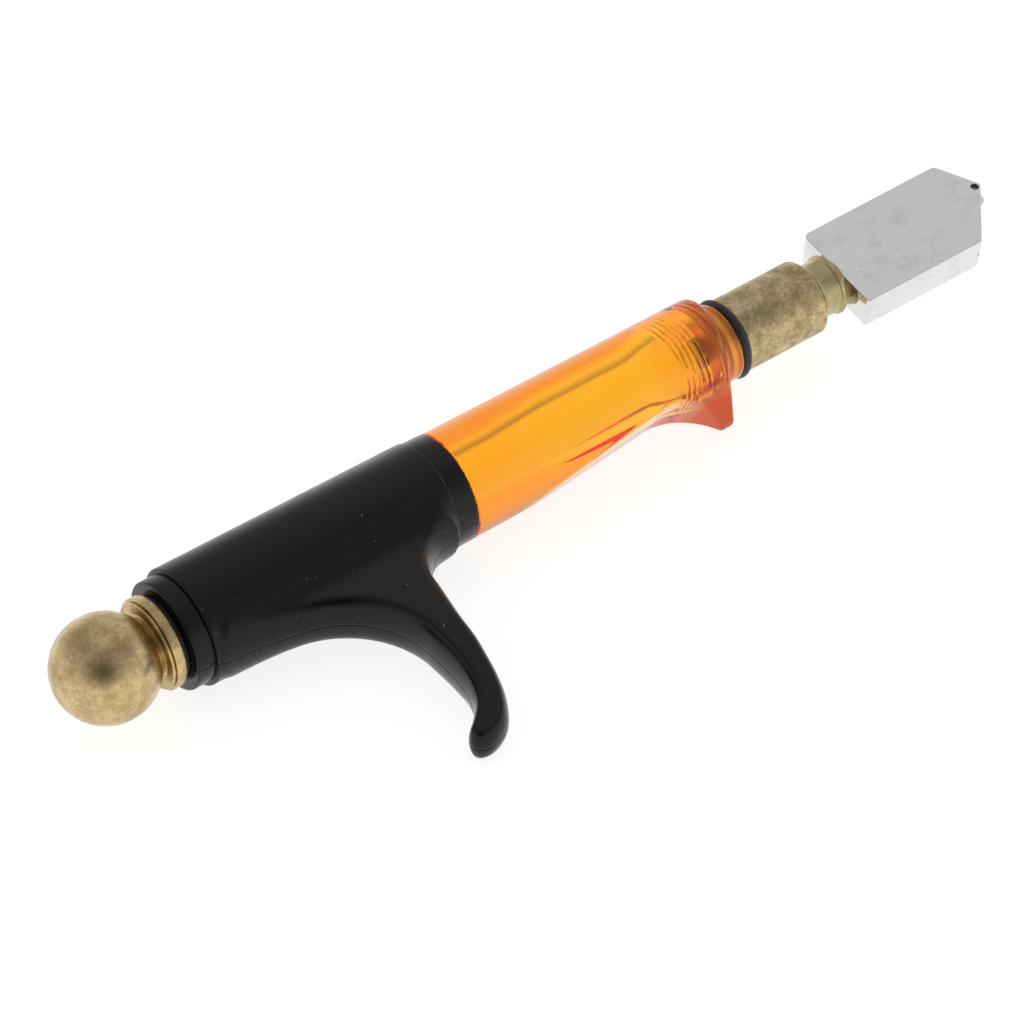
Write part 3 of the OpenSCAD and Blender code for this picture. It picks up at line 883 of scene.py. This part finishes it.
def dress_cad_nodes():
    """CAD nodes that stay as they are get their materials."""
    looks = {
        "retaining_pin": STEEL, "spring_washer": STEEL, "valve_stem": STEEL,
        "valve_seal": PALE, "head_shank": FERRULE_BRASS, "shank_oring": RUBBER,
        "feed_wick": COTTON}
    for node, material in looks.items():
        mesh = frame["nodes"][node].data
        mesh.materials.clear()
        mesh.materials.append(material)


# ---------------------------------------------------------------- stage, light and camera
def make_floor():
    level, half = cad_box[0].z, 6.0
    mesh = bpy.data.meshes.new("floor")
    mesh.from_pydata(
        [(-half, -half, level), (half, -half, level), (half, half, level), (-half, half, level)],
        [], [(0, 1, 2, 3)])
    floor = add_object("floor", mesh)
    look = Look("floor", Roughness=0.7)
    grain = look.noise(0.02, 3)
    look.colour(look.vary(grain, 0.29, 0.31))
    look.shader.inputs["Emission Color"].default_value = (1.0, 0.99, 0.975, 1)
    look.shader.inputs["Emission Strength"].default_value = 0.88
    mesh.materials.append(look.material)


CAMERA_AT = Vector((-0.32665, -0.62837, 0.54786))
CAMERA_BACK = Vector((-0.4178, -0.67897, 0.60369))
CAMERA_UP = Vector((0.4303, 0.43734, 0.78966))


class Sky:
    """Node world built from greys that depend on direction."""

    def __init__(self):
        self.world = bpy.data.worlds.new("studio")
        self.world.use_nodes = True
        self.nodes = self.world.node_tree.nodes
        self.links = self.world.node_tree.links
        self.direction = self.nodes.new("ShaderNodeTexCoord").outputs["Generated"]

    def towards(self, direction, *stops):
        """Grey that depends on the cosine to a direction: each stop is (cosine, grey)."""
        dot = self.nodes.new("ShaderNodeVectorMath")
        dot.operation = "DOT_PRODUCT"
        dot.inputs[1].default_value = Vector(direction).normalized()
        self.links.new(self.direction, dot.inputs[0])
        return colour_ramp(self.nodes, self.links, dot.outputs["Value"], stops)

    def join(self, operation, a, b):
        node = self.nodes.new("ShaderNodeVectorMath")
        node.operation = operation
        self.links.new(a, node.inputs[0])
        self.links.new(b, node.inputs[1])
        return node.outputs["Vector"]


def make_light():
    """White low walls, a grey ceiling with a lit panel, and a dim patch round the camera."""
    dim_side, lit_side = (-0.463, -0.752, 0.469), (0.42, 0.245, 0.875)
    sky = Sky()
    height = sky.towards((0, 0, 1), (0.0, 1.0), (0.2, 0.9), (0.45, 0.6), (0.65, 0.45))
    patch = sky.towards(dim_side, (0.7, 1.0), (0.9, 0.6), (0.965, 0.2), (1.0, 0.1))
    panel = sky.towards(lit_side, (0.78, 0.0), (0.94, 0.2), (1.0, 0.22))
    light = sky.join("ADD", sky.join("MULTIPLY", height, patch), panel)
    sky.links.new(light, sky.nodes["Background"].inputs["Color"])
    bpy.context.scene.world = sky.world


def allow_deep_glass():
    """Lets light bounce inside the clear barrel often enough to leave it again."""
    paths = bpy.context.scene.cycles
    paths.max_bounces, paths.glossy_bounces, paths.transmission_bounces = 40, 24, 24


def make_camera():
    camera = bpy.data.cameras.new("camera")
    camera.lens, camera.sensor_width = 210.9, 36
    camera.clip_start, camera.clip_end = 0.05, 20
    eye = bpy.data.objects.new("camera", camera)
    bpy.context.collection.objects.link(eye)
    right = CAMERA_UP.cross(CAMERA_BACK).normalized()
    up = CAMERA_BACK.cross(right).normalized()
    turn = Matrix((right, up, CAMERA_BACK.normalized())).transposed().to_4x4()
    eye.matrix_world = Matrix.Translation(CAMERA_AT) @ turn
    bpy.context.scene.camera = eye


make_knob()
make_washer()
make_saddle()
make_barrel()
make_oring()
make_ferrule()
make_bush()
make_head()
make_axle()
make_wheel()
make_spring()
dress_cad_nodes()
make_floor()
make_light()
make_camera()
allow_deep_glass()
bpy.context.scene.view_settings.view_transform = "Standard"
